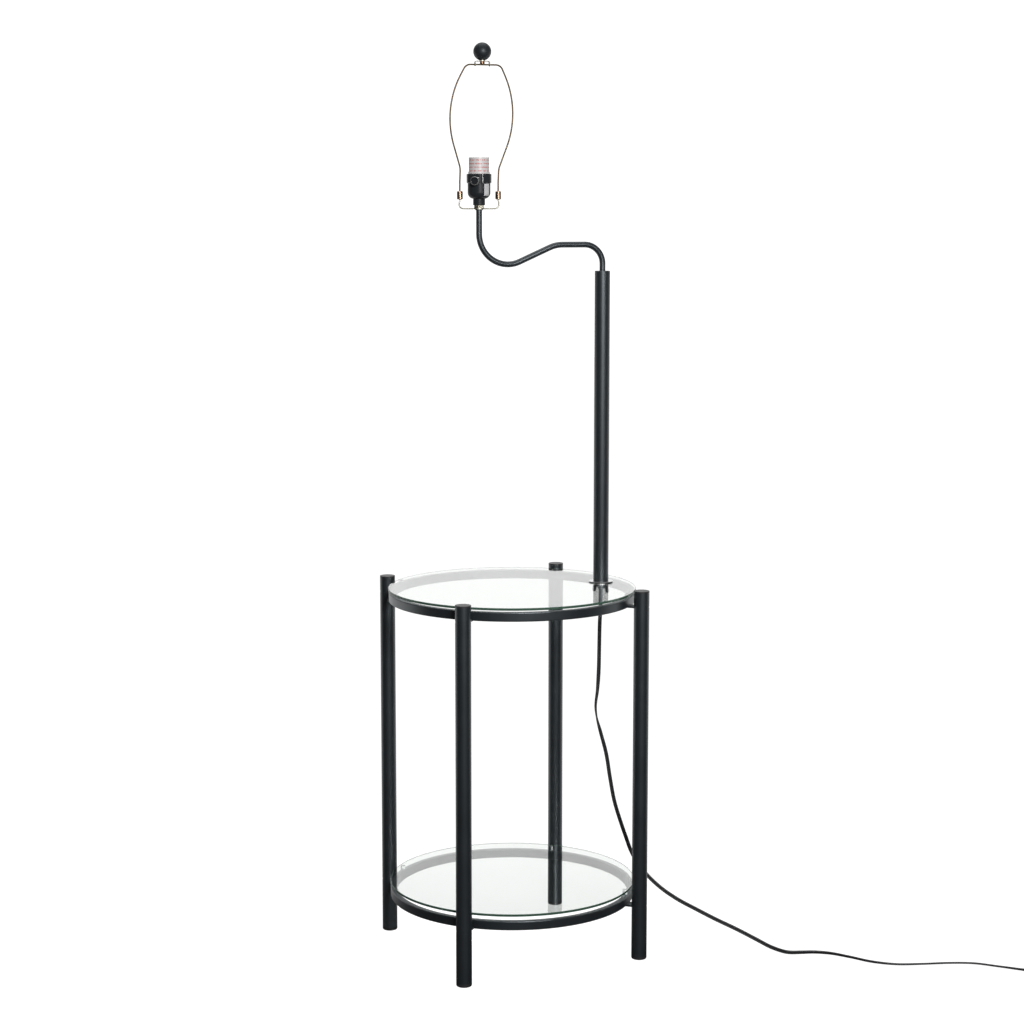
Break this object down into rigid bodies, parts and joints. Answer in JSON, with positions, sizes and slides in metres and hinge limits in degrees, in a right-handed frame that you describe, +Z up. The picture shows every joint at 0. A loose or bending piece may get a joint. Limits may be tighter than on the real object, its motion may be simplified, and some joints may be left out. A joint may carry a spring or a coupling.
{
  "type": "floor lamp with table",
  "caption": "Floor lamp: a round glass table with a lower shelf on tube legs carries an off-centre mast, a curved arm, a socket and a harp with a ball finial.",
  "frame": {"origin": "on the floor, under the middle of the table", "axes": "+Z up, +X from the table's middle towards the mast; the arm reaches back over the table towards -X"},
  "size_m": [1.1098, 0.6413, 1.4958],
  "materials": {
    "satin_black": "satin powder coat",
    "ball_black": "satin lacquer",
    "zinc_steel": "zinc plated",
    "black_plastic": "moulded",
    "pane_glass": "polished float glass",
    "clear_pad": "clear silicone",
    "black_rubber": "sheet rubber",
    "gloss_black": "polished moulded phenolic",
    "insulator": "moulded phenolic",
    "white_card": "printed card",
    "pale_brass": "plated",
    "copper_brass": "plated",
    "bronze_wire": "plated steel wire",
    "cord_black": "soft plastic jacket",
    "plug_black": "moulded plastic"
  },
  "bodies": {
    "table": {"glide_right": "black_plastic", "glide_back": "black_plastic", "glide_left": "black_plastic", "glide_front": "black_plastic", "foot_right": "satin_black", "foot_back": "satin_black", "foot_left": "satin_black", "foot_front": "satin_black", "leg_right": "satin_black", "leg_back": "satin_black", "leg_left": "satin_black", "leg_front": "satin_black", "post_right": "satin_black", "post_back": "satin_black", "post_left": "satin_black", "post_front": "satin_black", "post_caps": "black_plastic", "foot_inserts": "zinc_steel", "leg_inserts": "zinc_steel", "post_inserts": "zinc_steel", "shelf_studs": "zinc_steel", "top_studs": "zinc_steel", "shelf_ring": "satin_black", "top_ring": "satin_black", "shelf_pads": "clear_pad", "top_pads": "clear_pad", "shelf_glass": "pane_glass", "top_glass": "pane_glass", "upper_gasket": "black_rubber", "flange_washer": "zinc_steel", "lower_gasket": "black_rubber", "clamp_washer": "zinc_steel", "cord_free": "cord_black", "cord_coil": "cord_black", "plug": "plug_black"},
    "lamp_stand": {"nipple": "zinc_steel", "mast_insert": "zinc_steel", "mast_tube": "satin_black", "mast_cap": "satin_black", "arm_tube": "satin_black", "arm_nut": "zinc_steel", "saddle_seat": "satin_black", "saddle": "pale_brass", "saddle_nut": "pale_brass", "socket_cap": "gloss_black", "socket_collar": "gloss_black", "socket_insulator": "insulator", "screw_shell": "pale_brass", "centre_contact": "pale_brass", "card_sleeve": "white_card", "lamp_lead": "cord_black"},
    "wing_nut": {"wing_nut": "satin_black"},
    "switch_knob": {"switch_knob": "gloss_black"},
    "harp": {"harp_wire": "bronze_wire", "harp_strap": "pale_brass", "shade_stud": "pale_brass"},
    "ferrule_left": {"ferrule_left": "copper_brass"},
    "ferrule_right": {"ferrule_right": "copper_brass"},
    "finial": {"finial_ball": "ball_black", "finial_insert": "pale_brass"}
  },
  "joints": [
    {"name": "mast_turn", "type": "hinge", "parent": "table", "child": "lamp_stand", "pos_m": [0.1566, 0, 0.614], "axis": [0, 0, 1], "range_deg": [-180, 180]},
    {"name": "wing_nut_turn", "type": "hinge", "parent": "lamp_stand", "child": "wing_nut", "pos_m": [0.1566, 0, 0.602], "axis": [0, 0, 1], "continuous": true},
    {"name": "switch_turn", "type": "hinge", "parent": "lamp_stand", "child": "switch_knob", "pos_m": [-0.05581, 0, 1.27648], "axis": [-0.515, -0.8572, 0], "continuous": true},
    {"name": "harp_lift", "type": "slide", "parent": "lamp_stand", "child": "harp", "axis": [0, 0, 1], "range_m": [0, 0.03]},
    {"name": "ferrule_left_lift", "type": "slide", "parent": "harp", "child": "ferrule_left", "axis": [0, 0, 1], "range_m": [0, 0.012]},
    {"name": "ferrule_right_lift", "type": "slide", "parent": "harp", "child": "ferrule_right", "axis": [0, 0, 1], "range_m": [0, 0.012]},
    {"name": "finial_turn", "type": "hinge", "parent": "harp", "child": "finial", "pos_m": [-0.05002, 0, 1.46649], "axis": [0, 0, 1], "continuous": true}
  ]
}
